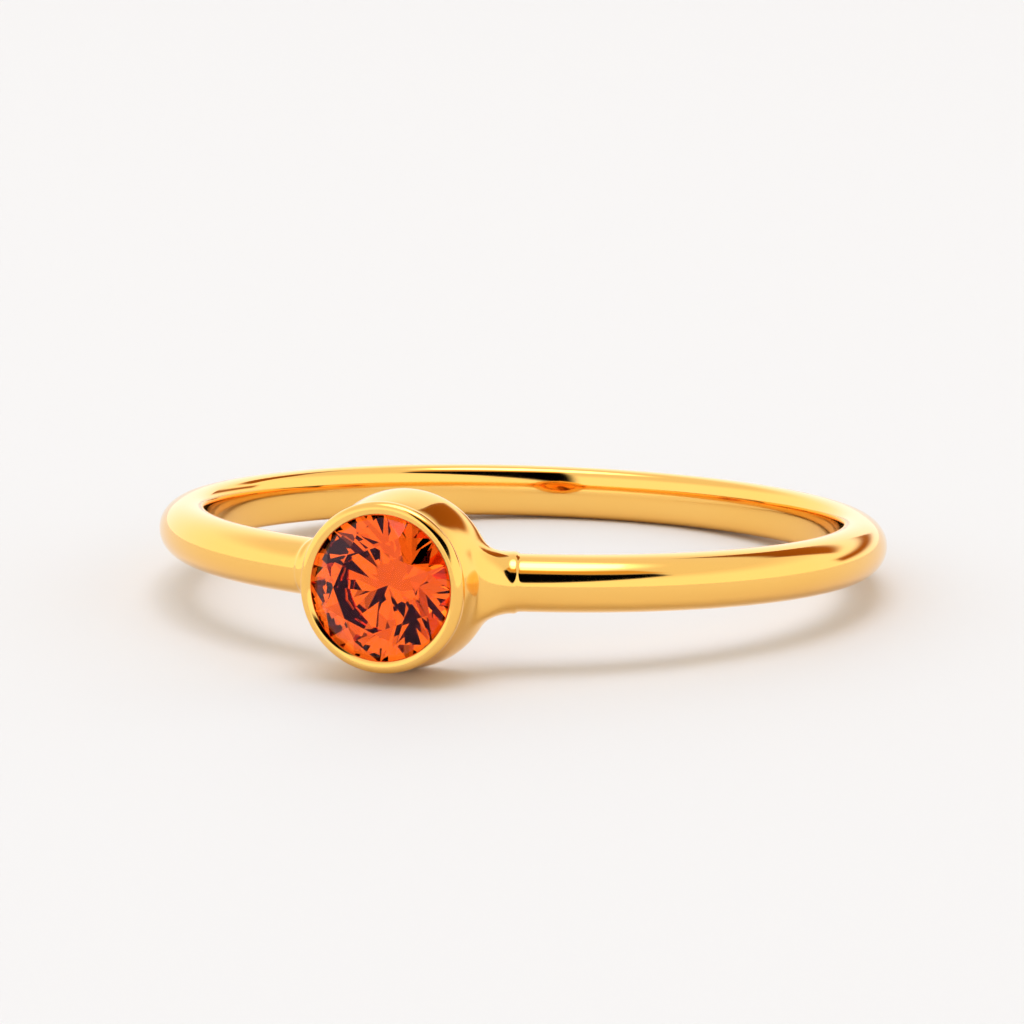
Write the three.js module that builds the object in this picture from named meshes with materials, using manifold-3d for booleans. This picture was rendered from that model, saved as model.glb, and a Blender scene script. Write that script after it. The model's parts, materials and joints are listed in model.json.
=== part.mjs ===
// A thin stacking ring: a plain polished band, and a round bezel setting that holds one
// brilliant-cut stone. Millimetres, +Z up.
//
// The pieces are made in the ring's own frame: the finger hole runs along Z, and the stone
// looks along -Y. At the end the whole ring is leaned back a few degrees, to lie as it does
// on a table: on the back of its band and on the lower edge of its setting.
import * as THREE from 'three';
import { ConvexGeometry } from 'three/addons/geometries/ConvexGeometry.js';
import { mergeVertices } from 'three/addons/utils/BufferGeometryUtils.js';
import Module from 'manifold-3d';

// Band: a wire that is domed outside and nearly flat where it meets the finger.
const HOLE_RADIUS = 8.85;
const BAND_WIDTH = 1.5; // along the finger
const DOME_DEPTH = 0.8; // from the widest line of the wire out to its crown
const INNER_DEPTH = 0.5; // from the widest line in to the finger
const INNER_ROUNDING = 0.62; // power of the inner curve: 1 is an ellipse, 0 a box
const BAND_STEPS = 88;
const SECTION_STEPS = 20;

// Setting: a short cup, wider at its back, with a rounded lip at its front. Distances are
// from the axis of the finger hole, out along the stone's axis.
const CUP_BACK = 9.2;
const CUP_BACK_RADIUS = 2.36;
const BACK_EDGE_ROUNDING = 0.3;
const NECK_AT = 11.12;
const NECK_RADIUS = 2.09;
const LIP_FRONT = 11.6;
const LIP_RADIUS = 2.19;
const LIP_INNER_RADIUS = 1.885;
const CUP_BORE_RADIUS = 1.55; // open to the finger behind the stone
const CUP_STEPS = 48;

// Stone: a round brilliant.
const STONE_RADIUS = 1.95;
const GIRDLE_FRONT = 11.45;
const GIRDLE_THICKNESS = 0.12;
const TABLE_SHARE = 0.57; // of the stone's width
const CROWN_ANGLE = THREE.MathUtils.degToRad(34);
const PAVILION_ANGLE = THREE.MathUtils.degToRad(40.75);
const STAR_SHARE = 0.5; // how far the star facets reach from the table to the girdle
const LOWER_HALF_SHARE = 0.77; // how far the lower halves reach from the girdle to the point
const FACETS_ROUND = 8;
const STONE_GAP = 0.04; // around the stone, to the metal

// Shoulders: where the band is soldered to the cup it swells into a collar and flares.
const COLLAR_START = 2.85; // distance of the collar's end from the middle, across the ring
const COLLAR_END = 1.85; // inside the wall of the cup
const COLLAR_STEP = 0.05; // how far the collar stands proud of the wire
const COLLAR_EDGE = 0.1;
const FLARE_RADIUS = 0.6; // of the hollow curve that meets the cup
const COLLAR_STEPS = 24;

// How many straight stretches make up each rounded edge.
const BACK_EDGE_STEPS = 4;
const LIP_ROUNDING_STEPS = 7;
const FLARE_STEPS = 6;

const PAST_METAL = 1; // how far a cut runs on past the metal
const SHORTEST_EDGE = 0.004; // slivers left by a cut are closed up to this size

const MOST_LEAN = THREE.MathUtils.degToRad(15); // as the ring rests
const LEAN_HALVINGS = 40;

const GOLD_COLOUR = 0xf2b544;
const STONE_COLOUR = 0xf4511a;

const wasm = await Module();
wasm.setup();

function toSolid(geometry) {
  const bare = geometry.clone();
  bare.deleteAttribute('normal');
  bare.deleteAttribute('uv');
  const merged = mergeVertices(bare, 1e-5);
  const mesh = new wasm.Mesh({
    numProp: 3,
    vertProperties: new Float32Array(merged.attributes.position.array),
    triVerts: new Uint32Array(merged.index.array),
  });
  return new wasm.Manifold(mesh);
}

function toGeometry(solid) {
  const mesh = solid.simplify(SHORTEST_EDGE).getMesh();
  const geometry = new THREE.BufferGeometry();
  geometry.setAttribute('position', new THREE.BufferAttribute(mesh.vertProperties, mesh.numProp));
  geometry.setIndex(new THREE.BufferAttribute(mesh.triVerts, 1));
  geometry.computeVertexNormals();
  return geometry;
}

// Points along an arc, from one angle to another, both in degrees, the ends included.
function arc(centreX, centreY, radius, fromDegrees, toDegrees, steps) {
  const points = [];
  for (let step = 0; step <= steps; step += 1) {
    const degrees = fromDegrees + ((toDegrees - fromDegrees) * step) / steps;
    const angle = THREE.MathUtils.degToRad(degrees);
    points.push(
      new THREE.Vector2(centreX + radius * Math.cos(angle), centreY + radius * Math.sin(angle)),
    );
  }
  return points;
}

function signedPower(value, power) {
  return Math.sign(value) * Math.abs(value) ** power;
}

// The wire's section, closed on itself: x is the distance from the finger hole's axis.
function bandSection() {
  const widestLine = HOLE_RADIUS + INNER_DEPTH;
  const points = [];
  for (let step = 0; step <= SECTION_STEPS; step += 1) {
    const angle = (2 * Math.PI * step) / SECTION_STEPS;
    const across = Math.cos(angle);
    const along = Math.sin(angle);
    const isOuter = across >= 0;
    const depth = isOuter ? DOME_DEPTH : INNER_DEPTH;
    const power = isOuter ? 1 : INNER_ROUNDING;
    points.push(
      new THREE.Vector2(
        widestLine + depth * signedPower(across, power),
        (BAND_WIDTH / 2) * signedPower(along, power),
      ),
    );
  }
  return points;
}

function bandBlank() {
  return toSolid(new THREE.LatheGeometry(bandSection(), BAND_STEPS).rotateX(Math.PI / 2));
}

// The cup's outside, as a filled body on the stone's axis: y is minus the distance.
function cupOutside() {
  const backEdge = arc(
    CUP_BACK_RADIUS - BACK_EDGE_ROUNDING,
    -(CUP_BACK + BACK_EDGE_ROUNDING),
    BACK_EDGE_ROUNDING,
    90,
    0,
    BACK_EDGE_STEPS,
  );
  const lipHalf = (LIP_FRONT - NECK_AT) / 2;
  const lip = arc(LIP_RADIUS - lipHalf, -(NECK_AT + lipHalf), lipHalf, 60, -90, LIP_ROUNDING_STEPS);
  return [
    new THREE.Vector2(0, -CUP_BACK),
    ...backEdge,
    new THREE.Vector2(NECK_RADIUS, -NECK_AT),
    ...lip,
    new THREE.Vector2(0, -LIP_FRONT),
  ];
}

// What is cut out of the cup: the finger side's bore, the ledge under the stone, the seat
// around its girdle, and the mouth inside the lip.
function cupInside() {
  const seatRadius = STONE_RADIUS + STONE_GAP;
  const seatBack = GIRDLE_FRONT - GIRDLE_THICKNESS - STONE_GAP;
  const ledgeDrop = (seatRadius - CUP_BORE_RADIUS) * Math.tan(PAVILION_ANGLE);
  const underLip = GIRDLE_FRONT + STONE_GAP;
  return [
    new THREE.Vector2(0, -HOLE_RADIUS / 2),
    new THREE.Vector2(CUP_BORE_RADIUS, -HOLE_RADIUS / 2),
    new THREE.Vector2(CUP_BORE_RADIUS, -(seatBack - ledgeDrop)),
    new THREE.Vector2(seatRadius, -seatBack),
    new THREE.Vector2(seatRadius, -underLip),
    new THREE.Vector2(LIP_INNER_RADIUS, -(underLip + STONE_GAP)),
    new THREE.Vector2(LIP_INNER_RADIUS, -(LIP_FRONT + PAST_METAL)),
    new THREE.Vector2(0, -(LIP_FRONT + PAST_METAL)),
  ];
}

// A body turned on the stone's axis. The profiles run from the back to the front, which is
// down along Y, and a lathe takes them from the lowest point up.
function turned(profile) {
  return toSolid(new THREE.LatheGeometry([...profile].reverse(), CUP_STEPS));
}

// One shoulder: a collar round the wire that opens out like a horn where it meets the cup.
function shoulder(side) {
  const wireRadius = HOLE_RADIUS + (INNER_DEPTH + DOME_DEPTH) / 2;
  const onWire = (across) => (
    new THREE.Vector3(side * across, -Math.sqrt(wireRadius ** 2 - across ** 2), 0)
  );
  const start = onWire(COLLAR_START);
  const end = onWire(COLLAR_END);
  const length = start.distanceTo(end);
  const radius = BAND_WIDTH / 2 + COLLAR_STEP;
  const flareFrom = length - FLARE_RADIUS;
  const flare = arc(radius + FLARE_RADIUS, flareFrom, FLARE_RADIUS, 180, 90, FLARE_STEPS);
  const profile = [
    new THREE.Vector2(0, 0),
    new THREE.Vector2(radius - COLLAR_EDGE, 0),
    new THREE.Vector2(radius, COLLAR_EDGE),
    ...flare,
    new THREE.Vector2(0, length),
  ];
  const horn = new THREE.LatheGeometry(profile, COLLAR_STEPS);
  horn.scale((INNER_DEPTH + DOME_DEPTH) / BAND_WIDTH, 1, 1);
  const alongBand = end.clone().sub(start).normalize();
  const alongFinger = new THREE.Vector3(0, 0, 1);
  const outward = new THREE.Vector3().crossVectors(alongBand, alongFinger);
  horn.applyMatrix4(new THREE.Matrix4().makeBasis(outward, alongBand, alongFinger).setPosition(start));
  return toSolid(horn);
}

// Band, collars and cup are soldered and polished as one piece of metal.
function bandAndSetting() {
  const holeLength = 2 * (CUP_BACK_RADIUS + PAST_METAL);
  const fingerHole = toSolid(
    new THREE.CylinderGeometry(HOLE_RADIUS, HOLE_RADIUS, holeLength, BAND_STEPS).rotateX(Math.PI / 2),
  );
  const behindCup = toSolid(
    new THREE.CylinderGeometry(CUP_BACK_RADIUS, CUP_BACK_RADIUS, CUP_BACK, CUP_STEPS)
      .translate(0, -CUP_BACK / 2, 0),
  );
  const shoulders = shoulder(1).add(shoulder(-1)).subtract(fingerHole).subtract(behindCup);
  const joined = turned(cupOutside()).add(shoulders).add(bandBlank());
  return toGeometry(joined.subtract(turned(cupInside())));
}

// The stone's corners in rings, from its flat table down to its point.
function stone() {
  const tableRadius = TABLE_SHARE * STONE_RADIUS;
  const slope = Math.tan(CROWN_ANGLE);
  const crownHeight = (STONE_RADIUS - tableRadius) * slope;
  const halfTurn = Math.PI / FACETS_ROUND;
  const starFrom = tableRadius * Math.cos(halfTurn);
  const starTip = starFrom + STAR_SHARE * (STONE_RADIUS - starFrom);
  const starTipHeight = crownHeight - (starTip * Math.cos(halfTurn) - tableRadius) * slope;
  const lowerTip = (1 - LOWER_HALF_SHARE) * STONE_RADIUS;
  const depth = Math.tan(PAVILION_ANGLE);
  const lowerTipDepth = (STONE_RADIUS - lowerTip * Math.cos(halfTurn)) * depth;
  const girdleBack = GIRDLE_FRONT - GIRDLE_THICKNESS;
  const rings = [
    { radius: tableRadius, at: GIRDLE_FRONT + crownHeight, count: FACETS_ROUND, turn: 0 },
    { radius: starTip, at: GIRDLE_FRONT + starTipHeight, count: FACETS_ROUND, turn: halfTurn },
    { radius: STONE_RADIUS, at: GIRDLE_FRONT, count: 2 * FACETS_ROUND, turn: 0 },
    { radius: STONE_RADIUS, at: girdleBack, count: 2 * FACETS_ROUND, turn: 0 },
    { radius: lowerTip, at: girdleBack - lowerTipDepth, count: FACETS_ROUND, turn: halfTurn },
    { radius: 0, at: girdleBack - STONE_RADIUS * depth, count: 1, turn: 0 },
  ];
  const corners = [];
  for (const ring of rings) {
    for (let corner = 0; corner < ring.count; corner += 1) {
      const angle = ring.turn + (2 * Math.PI * corner) / ring.count;
      corners.push(
        new THREE.Vector3(ring.radius * Math.cos(angle), -ring.at, ring.radius * Math.sin(angle)),
      );
    }
  }
  return new ConvexGeometry(corners);
}

function named(name, geometry, material) {
  const mesh = new THREE.Mesh(geometry, material);
  mesh.name = name;
  return mesh;
}

// The lean at which the front half and the back half of the metal reach equally low.
function restingLean(geometry) {
  const position = geometry.attributes.position;
  let low = 0;
  let high = MOST_LEAN;
  for (let halving = 0; halving < LEAN_HALVINGS; halving += 1) {
    const lean = (low + high) / 2;
    let frontLowest = Infinity;
    let backLowest = Infinity;
    for (let i = 0; i < position.count; i += 1) {
      const y = position.getY(i);
      const height = position.getZ(i) * Math.cos(lean) - y * Math.sin(lean);
      if (y < 0) frontLowest = Math.min(frontLowest, height);
      else backLowest = Math.min(backLowest, height);
    }
    if (frontLowest < backLowest) low = lean;
    else high = lean;
  }
  return (low + high) / 2;
}

const gold = new THREE.MeshStandardMaterial({ color: GOLD_COLOUR, roughness: 0.12, metalness: 1 });
const orangeStone = new THREE.MeshStandardMaterial({ color: STONE_COLOUR, roughness: 0.05, metalness: 0 });

const metal = bandAndSetting();
const ring = new THREE.Group();
ring.add(named('band_and_setting', metal, gold));
ring.add(named('stone', stone(), orangeStone));
ring.rotation.x = -restingLean(metal);

// The origin is under the middle of the resting ring.
const object = new THREE.Group();
object.add(ring);
const reach = new THREE.Box3().setFromObject(object, true);
ring.position.y = -(reach.min.y + reach.max.y) / 2;
ring.position.z = -reach.min.z;

export default object;
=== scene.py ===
# %% [markdown]
# # A thin stacking ring with one orange stone
#
# This notebook dresses a ring that is already measured. The frame holds two plain solids at
# their real size: the metal (a wire band with a bezel setting soldered on) and the stone. We
# model both again with fine, smooth surfaces in exactly the same place, give them polished
# gold and a clear orange gem, and lay them on a pale studio floor.
#
# A ring is judged by its reflections, so most of the lesson is about clean surfaces and about
# what there is in the room for them to reflect.

# %% Load the frame
import json
import math

import bmesh
import bpy
from mathutils import Matrix, Vector


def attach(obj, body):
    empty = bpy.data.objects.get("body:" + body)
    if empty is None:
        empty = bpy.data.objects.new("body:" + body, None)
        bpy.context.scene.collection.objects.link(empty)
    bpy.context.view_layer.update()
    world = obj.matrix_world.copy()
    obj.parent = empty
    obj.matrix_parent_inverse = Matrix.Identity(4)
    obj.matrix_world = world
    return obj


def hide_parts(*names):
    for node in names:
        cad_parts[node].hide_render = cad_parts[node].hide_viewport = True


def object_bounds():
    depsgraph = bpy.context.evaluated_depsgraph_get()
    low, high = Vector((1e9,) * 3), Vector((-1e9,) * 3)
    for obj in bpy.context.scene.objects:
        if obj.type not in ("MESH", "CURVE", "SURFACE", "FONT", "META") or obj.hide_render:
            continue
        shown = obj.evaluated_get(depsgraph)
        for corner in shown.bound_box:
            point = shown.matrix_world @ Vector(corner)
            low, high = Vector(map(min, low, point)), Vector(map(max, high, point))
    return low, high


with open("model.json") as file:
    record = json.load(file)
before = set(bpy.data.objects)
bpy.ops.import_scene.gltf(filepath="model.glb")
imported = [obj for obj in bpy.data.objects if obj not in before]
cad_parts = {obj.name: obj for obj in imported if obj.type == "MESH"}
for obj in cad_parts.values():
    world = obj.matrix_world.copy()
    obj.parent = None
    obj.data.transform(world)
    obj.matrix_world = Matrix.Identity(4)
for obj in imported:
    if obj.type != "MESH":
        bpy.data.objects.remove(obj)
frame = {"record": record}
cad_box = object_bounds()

print("the frame's box, metres:", [tuple(round(v, 5) for v in corner) for corner in cad_box])

# %% [markdown]
# ## Where the ring lies
#
# The ring rests on the back of its band and on the lower edge of its setting, so it leans back
# a few degrees. It is far easier to model a ring that is square to the axes, with the finger
# hole along Z and the stone looking along -Y, and to lean it at the very end. Blender could do
# that with an object's rotation, but a finished piece should carry its place in its mesh.
#
# The frame states one flat face, the back of the setting, with its place and its direction.
# That is enough to find both the lean and the middle of the finger hole.

# %% Read the lean and the middle of the ring
MM = 0.001
SETTING_BACK = 9.2      # mm from the middle of the finger hole to the back of the setting
FACE_ALONG_FINGER = 1.8  # mm from the middle of the setting to the stated point, along the finger

back_face = next(m for m in frame["record"]["mounts"] if m["name"] == "setting_back")
toward_finger = Vector(back_face["axis"])
lean = math.atan2(-toward_finger.z, toward_finger.y)
lean_turn = Matrix.Rotation(-lean, 4, "X")
on_square_ring = Vector((0, -SETTING_BACK, FACE_ALONG_FINGER)) * MM
ring_middle = Vector(back_face["pos_m"]) - lean_turn @ on_square_ring
# Everything below is modelled in millimetres, square to the axes, and this brings it home.
bring_home = Matrix.Translation(ring_middle) @ lean_turn @ Matrix.Scale(MM, 4)
print("lean, degrees:", round(math.degrees(lean), 2), " middle, metres:", tuple(ring_middle))

# %% [markdown]
# ## The camera
#
# The camera comes early, because every choice of highlight depends on where we look from. It
# looks a little down on the ring and from a little to its right, so that the stone turns to
# the left of the picture. A long lens from about 13 cm keeps the perspective of a close
# product shot, and the picture is filled by the ring.

# %% Place the camera
CAMERA_AZIMUTH = math.radians(18.7)
CAMERA_HEIGHT = math.radians(12.3)
CAMERA_DISTANCE = 0.130
LENS = 165.0

target = (cad_box[0] + cad_box[1]) / 2
away = Vector((
    math.sin(CAMERA_AZIMUTH) * math.cos(CAMERA_HEIGHT),
    -math.cos(CAMERA_AZIMUTH) * math.cos(CAMERA_HEIGHT),
    math.sin(CAMERA_HEIGHT),
))
camera = bpy.data.objects.new("camera", bpy.data.cameras.new("camera"))
camera.data.lens = LENS
camera.data.clip_start = 0.005
camera.location = target + away * CAMERA_DISTANCE
camera.rotation_euler = (-away).to_track_quat("-Z", "Y").to_euler()
bpy.context.scene.collection.objects.link(camera)
bpy.context.scene.camera = camera
print("camera at", tuple(round(v, 4) for v in camera.location))

# %% [markdown]
# ## The wire of the band
#
# A goldsmith draws a straight length of domed wire through a plate and bends it round a
# mandrel. We do the same: one closed section, swept round the finger hole. `spin` is the
# sweep. A curve with a bevel would make it too, but a spun mesh lets us weld its ends to the
# setting later, and that joint is what makes the ring look real.
#
# The section has 16 corners. It is domed outside and flatter where it meets the finger. A
# subdivision surface will round it off, and in doing so it pulls every corner in a little, so
# the section is drawn slightly large: `swell` says by how much.

# %% Draw the section of the wire
HOLE_RADIUS = 8.85
HALF_WIDTH = 0.75        # along the finger
DOME_DEPTH = 0.8         # from the widest line out to the crown
INNER_DEPTH = 0.5        # from the widest line in to the finger
INNER_ROUNDING = 0.55    # 1 would be an ellipse, 0 a box
SECTION_CORNERS = 16
WIDEST_LINE = HOLE_RADIUS + INNER_DEPTH


def swell(corners):
    """How much larger a regular cage must be than the smooth curve that it turns into."""
    return 3 / (2 + math.cos(2 * math.pi / corners))


def signed_power(value, power):
    return math.copysign(abs(value) ** power, value)


def draw_section(bm):
    """The wire's section on the -Y side of the ring, as a closed loop of edges."""
    circle = bmesh.ops.create_circle(bm, segments=SECTION_CORNERS, radius=1)
    grow = swell(SECTION_CORNERS)
    for vert in circle["verts"]:
        outward, along = vert.co.x, vert.co.y
        outer = outward > -1e-6
        depth = DOME_DEPTH if outer else INNER_DEPTH
        power = 1 if outer else INNER_ROUNDING
        reach = WIDEST_LINE + depth * grow * signed_power(outward, power)
        vert.co = (0, -reach, HALF_WIDTH * grow * signed_power(along, power))
    return list({edge for vert in circle["verts"] for edge in vert.link_edges})


metal = bmesh.new()
section = draw_section(metal)
print("the wire's section has", len(section), "edges")

# %% [markdown]
# ## Sweeping the band, and the collars at its ends
#
# The sweep starts where the right collar begins and runs round the back to the left one. It
# stops short of the setting on both sides.
#
# Near the setting the real wire swells into a short collar, with a fine step where it starts.
# Each end of the sweep is therefore extruded a few more times. Every new section is turned a
# little further round the ring and scaled about the middle of the wire.

# %% Sweep the band
WIRE_MIDDLE = HOLE_RADIUS + (INNER_DEPTH + DOME_DEPTH) / 2
BAND_STEPS = 64
COLLAR_FROM = 3.02       # mm from the middle plane of the ring
# Each row: mm from the middle plane, and how much thicker than the wire it is there.
COLLAR_STATIONS = [
    (2.90, 1.00),
    (2.86, 1.06),
    (2.78, 1.085),
    (2.64, 1.06),
]


def turn_at(across):
    """The angle round the ring, from the stone, of a point of the wire this far across."""
    return math.asin(across / WIRE_MIDDLE)


def verts_of(edges):
    return list({vert for edge in edges for vert in edge.verts})


first_turn = turn_at(COLLAR_FROM)
bmesh.ops.rotate(
    metal, cent=(0, 0, 0), matrix=Matrix.Rotation(first_turn, 3, "Z"), verts=verts_of(section)
)
sweep = bmesh.ops.spin(
    metal, geom=section, cent=(0, 0, 0), axis=(0, 0, 1), angle=2 * math.pi - 2 * first_turn,
    steps=BAND_STEPS, use_merge=False, use_duplicate=False,
)
last = [item for item in sweep["geom_last"] if isinstance(item, bmesh.types.BMEdge)]
print("after the sweep:", len(metal.faces), "faces")

# %% Extrude the collars


def extrude_collar(bm, loop, side):
    """Carries one end of the wire along the collar's stations. Side is 1 on the right."""
    turn, size = first_turn, 1.0
    for across, thickness in COLLAR_STATIONS:
        grown = bmesh.ops.extrude_edge_only(bm, edges=loop)["geom"]
        loop = [item for item in grown if isinstance(item, bmesh.types.BMEdge)
                and all(vert in grown for vert in item.verts)]
        verts = verts_of(loop)
        next_turn = turn_at(across)
        bmesh.ops.rotate(
            bm, cent=(0, 0, 0), verts=verts,
            matrix=Matrix.Rotation(side * (next_turn - turn), 3, "Z"),
        )
        middle = Vector((side * math.sin(next_turn), -math.cos(next_turn), 0)) * WIRE_MIDDLE
        step = thickness / size
        bmesh.ops.scale(
            bm, vec=(step, step, step), space=Matrix.Translation(-middle), verts=verts
        )
        turn, size = next_turn, thickness
    return loop


band_ends = {1: extrude_collar(metal, section, 1), -1: extrude_collar(metal, last, -1)}
print("with its collars the band has", len(metal.faces), "faces")

# %% [markdown]
# ## The setting
#
# A bezel setting is a little cup turned from tube. It is open behind the stone, wider at its
# back, waisted under the lip, and its lip is rolled over the edge of the stone. A turned shape
# is a spun one: we draw its profile once and sweep it all the way round, with `use_merge` so
# that the last step closes on the first.
#
# The profile goes round the whole wall: across the back, up the outside, over the lip, down
# into the seat that holds the stone, and back down the bore. Points that lie close together
# keep an edge crisp when the surface is subdivided. Points far apart let it flow.

# %% Draw the setting's profile
CUP_CORNERS = 32
# Each row: mm from the stone's axis, and mm from the middle of the finger hole.
BACK_OF_CUP = [(1.55, 9.32), (1.60, 9.22), (1.72, 9.20), (1.93, 9.20), (2.22, 9.22)]
SIDE_OF_CUP = [(2.365, 9.40), (2.355, 9.80), (2.295, 10.20), (2.235, 10.50), (2.165, 10.82)]
NECK_OF_CUP = [(2.09, 11.06), (2.04, 11.16), (2.09, 11.235)]
LIP_OF_CUP = [
    (2.205, 11.26), (2.235, 11.36), (2.225, 11.49), (2.165, 11.59), (2.07, 11.635),
    (1.985, 11.625), (1.925, 11.60), (1.892, 11.575), (1.885, 11.55),
]
SEAT_OF_CUP = [(1.93, 11.525), (1.985, 11.50), (1.995, 11.44), (1.992, 11.31), (1.97, 11.27)]
LEDGE_OF_CUP = [(1.80, 11.125), (1.62, 10.965), (1.56, 10.88), (1.55, 10.75), (1.55, 9.95)]


def draw_profile(bm, rows):
    """A closed loop of edges in the plane X = 0, for a spin about the stone's axis."""
    verts = [bm.verts.new((0, -ahead, from_axis)) for from_axis, ahead in rows]
    return [bm.edges.new(pair) for pair in zip(verts, verts[1:] + verts[:1])]


profile_rows = BACK_OF_CUP + SIDE_OF_CUP + NECK_OF_CUP + LIP_OF_CUP + SEAT_OF_CUP + LEDGE_OF_CUP
cup_growth = swell(CUP_CORNERS)
profile = draw_profile(metal, [(across * cup_growth, ahead) for across, ahead in profile_rows])
# The first corner lies in the plane X = 0, so that a corner falls on the middle plane of the
# wire on both sides, and on the lowest line, where the setting touches the floor.
bmesh.ops.spin(
    metal, geom=profile, cent=(0, 0, 0), axis=(0, 1, 0), angle=2 * math.pi,
    steps=CUP_CORNERS, use_merge=True, use_duplicate=False,
)
bmesh.ops.remove_doubles(metal, verts=metal.verts, dist=1e-5)
print("band and setting together:", len(metal.faces), "faces")

# %% [markdown]
# ## Soldering the band to the setting
#
# On each side a patch of the cup is cut away, across its back edge and up its side, four faces
# each way. That leaves a hole with 16 corners, and the end of the wire has 16 corners too, so
# `bridge_loops` can join them one to one. Subdivision then turns the bridge into the hollow
# fillet that solder leaves. A boolean union would give a hard line there instead.

# %% Cut the openings and bridge them
JOINT_HALF_ANGLE = math.radians(22.5)
JOINT_FRONT = 10.20      # the opening's edges are rows of the profile
JOINT_INNER = 1.93


def in_joint(face, side):
    middle = face.calc_center_median()
    across = Vector((middle.x, middle.z))
    outside = face.normal.dot(Vector((middle.x, 0, middle.z))) > -0.5 * across.length
    near_side = abs(math.atan2(middle.z, side * middle.x)) < JOINT_HALF_ANGLE
    return (near_side and outside and across.length > JOINT_INNER * cup_growth
            and SETTING_BACK - 0.05 < -middle.y < JOINT_FRONT)


metal.normal_update()
cup_faces = [face for face in metal.faces if abs(face.calc_center_median().x) < 2.6
             and face.calc_center_median().y < -SETTING_BACK + 0.05]
for side, band_end in band_ends.items():
    patch = [face for face in cup_faces if face.is_valid and in_joint(face, side)]
    patch = [face for face in patch if Vector((face.calc_center_median().x,
             face.calc_center_median().z)).length < 2.6]
    rim = [edge for face in patch for edge in face.edges
           if sum(other in patch for other in edge.link_faces) == 1]
    inner = [edge for face in patch for edge in face.edges if edge not in rim]
    print("side", side, ": patch of", len(patch), "faces, rim of", len(rim), "edges")
    bmesh.ops.delete(metal, geom=patch, context="FACES_KEEP_BOUNDARY")
    bmesh.ops.bridge_loops(metal, edges=list(rim) + band_end)
bmesh.ops.recalc_face_normals(metal, faces=metal.faces)
print("soldered:", len(metal.faces), "faces,",
      sum(edge.is_boundary for edge in metal.edges), "open edges")

# %% Finish the metal


def make_piece(bm, name, levels):
    """Turns a bmesh in the square millimetre frame into a finished, placed object."""
    bmesh.ops.transform(bm, matrix=bring_home, verts=bm.verts)
    mesh = bpy.data.meshes.new(name)
    bm.to_mesh(mesh)
    bm.free()
    piece = bpy.data.objects.new(name, mesh)
    bpy.context.scene.collection.objects.link(piece)
    if levels:
        smooth = piece.modifiers.new("smooth", "SUBSURF")
        smooth.levels = levels
        smooth.render_levels = levels
        mesh.polygons.foreach_set("use_smooth", [True] * len(mesh.polygons))
    return piece


band = make_piece(metal, "gold_band_and_setting", 2)
print("the metal's cage:", len(band.data.polygons), "faces")

# %% [markdown]
# ## The stone
#
# A lapidary does not model a brilliant point by point. They start from a round blank, hold it
# at a measured angle against a flat wheel, and turn it by an even step for each facet.
# `bisect_plane` is that wheel: it cuts the mesh along a plane and throws the outer part away,
# and one new face closes the cut. We follow the same order: table, main facets, star facets
# and girdle halves, first above the girdle and then below it.

# %% Cut the stone
STONE_RADIUS = 1.95
GIRDLE_FRONT = 11.45
GIRDLE_THICKNESS = 0.12
TABLE_SHARE = 0.57
CROWN_ANGLE = math.radians(34)
PAVILION_ANGLE = math.radians(40.75)
STAR_SHARE = 0.5
LOWER_HALF_SHARE = 0.77
FACETS_ROUND = 8
BLANK_SIDES = 96


def polar(radius, turn, height):
    return Vector((radius * math.cos(turn), radius * math.sin(turn), height))


def grind(bm, point, normal):
    """One touch of the wheel: cuts along a plane, drops the outer part and closes the cut."""
    geom = bm.verts[:] + bm.edges[:] + bm.faces[:]
    cut = bmesh.ops.bisect_plane(
        bm, geom=geom, dist=1e-6, plane_co=point, plane_no=normal, clear_outer=True
    )["geom_cut"]
    rim = [item for item in cut if isinstance(item, bmesh.types.BMEdge)]
    bmesh.ops.contextual_create(bm, geom=rim)


def grind_through(bm, a, b, c):
    """Cuts the facet that passes through three corners, away from the stone's middle."""
    normal = (b - a).cross(c - a).normalized()
    inside = Vector((0, 0, -0.3))
    if normal.dot(a - inside) < 0:
        normal.negate()
    grind(bm, a, normal)


table_radius = TABLE_SHARE * STONE_RADIUS
crown_height = (STONE_RADIUS - table_radius) * math.tan(CROWN_ANGLE)
half_step = math.pi / FACETS_ROUND
star_from = table_radius * math.cos(half_step)
star_tip = star_from + STAR_SHARE * (STONE_RADIUS - star_from)
star_tip_height = crown_height - (star_tip * math.cos(half_step) - table_radius) * math.tan(CROWN_ANGLE)
lower_tip = (1 - LOWER_HALF_SHARE) * STONE_RADIUS
pavilion_depth = STONE_RADIUS * math.tan(PAVILION_ANGLE)
lower_tip_depth = (STONE_RADIUS - lower_tip * math.cos(half_step)) * math.tan(PAVILION_ANGLE)

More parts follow.
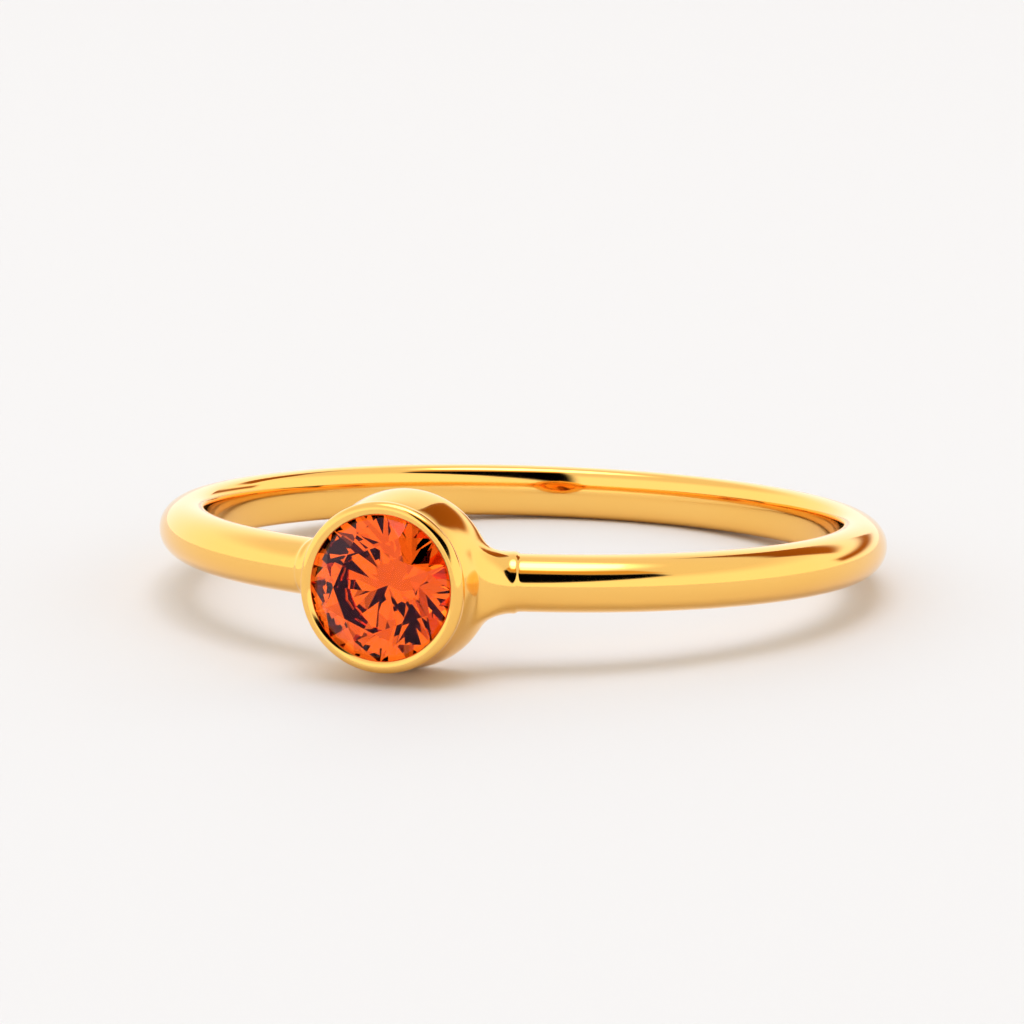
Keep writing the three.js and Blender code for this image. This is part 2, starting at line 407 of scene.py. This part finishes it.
gem = bmesh.new()
bmesh.ops.create_cone(
    gem, cap_ends=True, segments=BLANK_SIDES, radius1=STONE_RADIUS, radius2=STONE_RADIUS,
    depth=2 * pavilion_depth + 1,
)
grind(gem, Vector((0, 0, crown_height)), Vector((0, 0, 1)))
for step in range(FACETS_ROUND):
    turn = 2 * half_step * step
    main = polar(math.sin(CROWN_ANGLE), turn, math.cos(CROWN_ANGLE))
    grind(gem, polar(STONE_RADIUS, turn, 0), main)
    tip = polar(star_tip, turn + half_step, star_tip_height)
    table_corners = [polar(table_radius, turn + 2 * half_step * k, crown_height) for k in (0, 1)]
    grind_through(gem, tip, *table_corners)
    for end in (0, 2):
        corner = polar(STONE_RADIUS, turn + half_step * end, 0)
        grind_through(gem, tip, corner, polar(STONE_RADIUS, turn + half_step, 0))
    below = polar(math.sin(PAVILION_ANGLE), turn, -math.cos(PAVILION_ANGLE))
    grind(gem, polar(STONE_RADIUS, turn, -GIRDLE_THICKNESS), below)
    low_tip = polar(lower_tip, turn + half_step, -GIRDLE_THICKNESS - lower_tip_depth)
    for end in (0, 2):
        corner = polar(STONE_RADIUS, turn + half_step * end, -GIRDLE_THICKNESS)
        grind_through(gem, low_tip, corner, polar(STONE_RADIUS, turn + half_step, -GIRDLE_THICKNESS))
bmesh.ops.remove_doubles(gem, verts=gem.verts, dist=1e-4)
bmesh.ops.recalc_face_normals(gem, faces=gem.faces)
print("the stone has", len(gem.faces), "faces,",
      sum(edge.is_boundary for edge in gem.edges), "open edges")

# %% Turn the stone to look out of the setting
face_forward = Matrix.Translation((0, -GIRDLE_FRONT, 0)) @ Matrix.Rotation(math.pi / 2, 4, "X")
bmesh.ops.transform(gem, matrix=face_forward, verts=gem.verts)
stone = make_piece(gem, "orange_brilliant", 0)

# %% [markdown]
# ## Polished gold
#
# Gold plate is a plain metal shader: metallic 1, a warm base colour and a low roughness. What
# makes it read as real is what is not perfect. Polishing leaves very fine, shallow waves and
# hairlines, and fingers leave soft patches that are a touch duller.


# %% Make the gold


def new_material(name):
    material = bpy.data.materials.new(name)
    material.use_nodes = True
    nodes = material.node_tree.nodes
    return material, nodes, material.node_tree.links, nodes["Principled BSDF"]


def polished_gold():
    material, nodes, links, shader = new_material("polished_gold")
    place = nodes.new("ShaderNodeTexCoord")
    shader.inputs["Metallic"].default_value = 1
    handling = nodes.new("ShaderNodeTexNoise")
    handling.inputs["Scale"].default_value = 260
    handling.inputs["Detail"].default_value = 4
    links.new(place.outputs["Object"], handling.inputs["Vector"])
    dullness = nodes.new("ShaderNodeMapRange")
    dullness.inputs["From Min"].default_value = 0.35
    dullness.inputs["From Max"].default_value = 0.7
    dullness.inputs["To Min"].default_value = 0.045
    dullness.inputs["To Max"].default_value = 0.10
    links.new(handling.outputs["Fac"], dullness.inputs["Value"])
    links.new(dullness.outputs["Result"], shader.inputs["Roughness"])
    colour = nodes.new("ShaderNodeMix")
    colour.data_type = "RGBA"
    colour.inputs["A"].default_value = (1.0, 0.60, 0.165, 1)
    colour.inputs["B"].default_value = (1.0, 0.56, 0.13, 1)
    links.new(handling.outputs["Fac"], colour.inputs["Factor"])
    links.new(colour.outputs["Result"], shader.inputs["Base Color"])
    hairlines = nodes.new("ShaderNodeTexNoise")
    hairlines.inputs["Scale"].default_value = 2600
    hairlines.inputs["Detail"].default_value = 3
    links.new(place.outputs["Object"], hairlines.inputs["Vector"])
    bump = nodes.new("ShaderNodeBump")
    bump.inputs["Strength"].default_value = 0.05
    bump.inputs["Distance"].default_value = 0.00001
    links.new(hairlines.outputs["Fac"], bump.inputs["Height"])
    links.new(bump.outputs["Normal"], shader.inputs["Normal"])
    return material


def orange_gem():
    material, nodes, links, shader = new_material("clear_orange_gem")
    place = nodes.new("ShaderNodeTexCoord")
    growth = nodes.new("ShaderNodeTexNoise")
    growth.inputs["Scale"].default_value = 420
    growth.inputs["Detail"].default_value = 2
    links.new(place.outputs["Object"], growth.inputs["Vector"])
    tint = nodes.new("ShaderNodeMix")
    tint.data_type = "RGBA"
    tint.inputs["A"].default_value = (1.0, 0.57, 0.07, 1)
    tint.inputs["B"].default_value = (1.0, 0.45, 0.05, 1)
    links.new(growth.outputs["Fac"], tint.inputs["Factor"])
    links.new(tint.outputs["Result"], shader.inputs["Base Color"])
    shader.inputs["Roughness"].default_value = 0.0
    shader.inputs["IOR"].default_value = 2.1
    shader.inputs["Specular Tint"].default_value = (0.28, 0.10, 0.15, 1)
    shader.inputs["Transmission Weight"].default_value = 1
    depth = nodes.new("ShaderNodeVolumeAbsorption")
    depth.inputs["Color"].default_value = (1.0, 0.30, 0.0, 1)
    depth.inputs["Density"].default_value = 420
    links.new(depth.outputs["Volume"], nodes["Material Output"].inputs["Volume"])
    return material


band.data.materials.append(polished_gold())
stone.data.materials.append(orange_gem())

# %% Bind both pieces to the frame
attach(band, "root")
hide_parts("band_and_setting")
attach(stone, "root")
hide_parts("stone")

# %% [markdown]
# ## Floor and light

# %% Lay the floor


def pale_floor():
    bm = bmesh.new()
    bmesh.ops.create_grid(bm, x_segments=1, y_segments=1, size=3)
    mesh = bpy.data.meshes.new("floor")
    bm.to_mesh(mesh)
    bm.free()
    floor = bpy.data.objects.new("floor", mesh)
    bpy.context.scene.collection.objects.link(floor)
    material, nodes, links, shader = new_material("pale_paper")
    shader.inputs["Base Color"].default_value = (0.772, 0.779, 0.776, 1)
    shader.inputs["Roughness"].default_value = 0.8
    floor.data.materials.append(material)
    return floor


pale_floor()

# %% Describe the room
# Angles are degrees above the floor, and degrees to the right of the camera.
LOW_WALL_LEVEL = 1.3
WALL_LEVEL = 0.95
CEILING_LEVEL = 3.0
WALL_DIMS_OVER = (24, 44)
CEILING_STARTS_OVER = (62, 78)
WALL_COLOUR = (1.0, 0.985, 0.96, 1)
CEILING_COLOUR = (0.97, 0.98, 1.10, 1)
# Each card: its left and right end, its lower and upper edge at those two ends, its colour.
BLACK = (0, 0, 0, 1)
AMBER = (0.30, 0.10, 0.012, 1)
ORANGE = (0.80, 0.47, 0.12, 1)
CARDS = [
    {"from": -19, "to": 56, "lower": (5, 38), "upper": (60, 48), "colour": BLACK},
    {"from": -24, "to": 62, "lower": (60, 48), "upper": (76, 62), "colour": ORANGE},
    {"from": 132, "to": 174, "lower": (22, 26), "upper": (42, 46), "colour": AMBER},
    {"from": 120, "to": 176, "lower": (6, 8), "upper": (14, 15), "colour": AMBER},
]
CARD_EDGE = 3


# %% Light the room
def light_room():
    world = bpy.data.worlds.new("studio")
    bpy.context.scene.world = world
    world.use_nodes = True
    nodes, links = world.node_tree.nodes, world.node_tree.links
    sky = nodes["Background"]
    look = nodes.new("ShaderNodeTexCoord")
    parts = nodes.new("ShaderNodeSeparateXYZ")
    links.new(look.outputs["Generated"], parts.inputs["Vector"])

    def calc(operation, a, b=0.0):
        node = nodes.new("ShaderNodeMath")
        node.operation = operation
        for socket, value in zip(node.inputs, (a, b)):
            if isinstance(value, (int, float)):
                socket.default_value = value
            else:
                links.new(value, socket)
        return node.outputs["Value"]

    def ramp(value, span, ends, kind="SMOOTHSTEP"):
        """Runs from ends[0] to ends[1] while the value crosses the span."""
        node = nodes.new("ShaderNodeMapRange")
        node.interpolation_type = kind
        sockets = ("From Min", "From Max", "To Min", "To Max")
        for name, number in zip(sockets, (*span, *ends)):
            node.inputs[name].default_value = number
        links.new(value, node.inputs["Value"])
        return node.outputs["Result"]

    def card(row):
        """1 on the card and 0 off it, with soft edges."""
        ends = [math.degrees(CAMERA_AZIMUTH) + row[end] for end in ("from", "to")]
        over = calc("SUBTRACT", height, ramp(azimuth, ends, row["lower"], "LINEAR"))
        under = calc("SUBTRACT", ramp(azimuth, ends, row["upper"], "LINEAR"), height)
        past_left = calc("SUBTRACT", azimuth, ends[0])
        past_right = calc("SUBTRACT", ends[1], azimuth)
        inside = 1.0
        for depth in (over, under, past_left, past_right):
            inside = calc("MULTIPLY", ramp(depth, (-CARD_EDGE, CARD_EDGE), (0, 1)), inside)
        return inside

    def blend(share, a, b):
        node = nodes.new("ShaderNodeMix")
        node.data_type = "RGBA"
        links.new(share, node.inputs["Factor"])
        for socket, value in zip((node.inputs["A"], node.inputs["B"]), (a, b)):
            if isinstance(value, tuple):
                socket.default_value = value
            else:
                links.new(value, socket)
        return node.outputs["Result"]

    frontward = calc("MULTIPLY", parts.outputs["Y"], -1.0)
    azimuth = calc("DEGREES", calc("ARCTAN2", parts.outputs["X"], frontward))
    height = calc("DEGREES", calc("ARCSINE", parts.outputs["Z"]))
    ceiling = ramp(height, CEILING_STARTS_OVER, (0, 1))
    wall = ramp(height, WALL_DIMS_OVER, (LOW_WALL_LEVEL, WALL_LEVEL))
    level = calc("ADD", wall, calc("MULTIPLY", ceiling, CEILING_LEVEL - WALL_LEVEL))
    colour = blend(ceiling, WALL_COLOUR, CEILING_COLOUR)
    for row in CARDS:
        colour = blend(card(row), colour, row["colour"])
    links.new(colour, sky.inputs["Color"])
    links.new(level, sky.inputs["Strength"])
    print("the room has", len(CARDS), "cards and", len(nodes), "nodes")


light_room()


def add_softbox(name, place, size, watts, aim):
    lamp = bpy.data.lights.new(name, "AREA")
    lamp.shape = "RECTANGLE"
    lamp.size, lamp.size_y = size
    lamp.energy = watts
    obj = bpy.data.objects.new(name, lamp)
    obj.location = place
    obj.rotation_euler = (Vector(place) - Vector(aim)).to_track_quat("Z", "Y").to_euler()
    bpy.context.scene.collection.objects.link(obj)


add_softbox("overhead_softbox", (0.05, 0.03, 0.35), (0.12, 0.12), 0.08, target)

# %% Colour as it is lit
bpy.context.scene.view_settings.view_transform = "Standard"
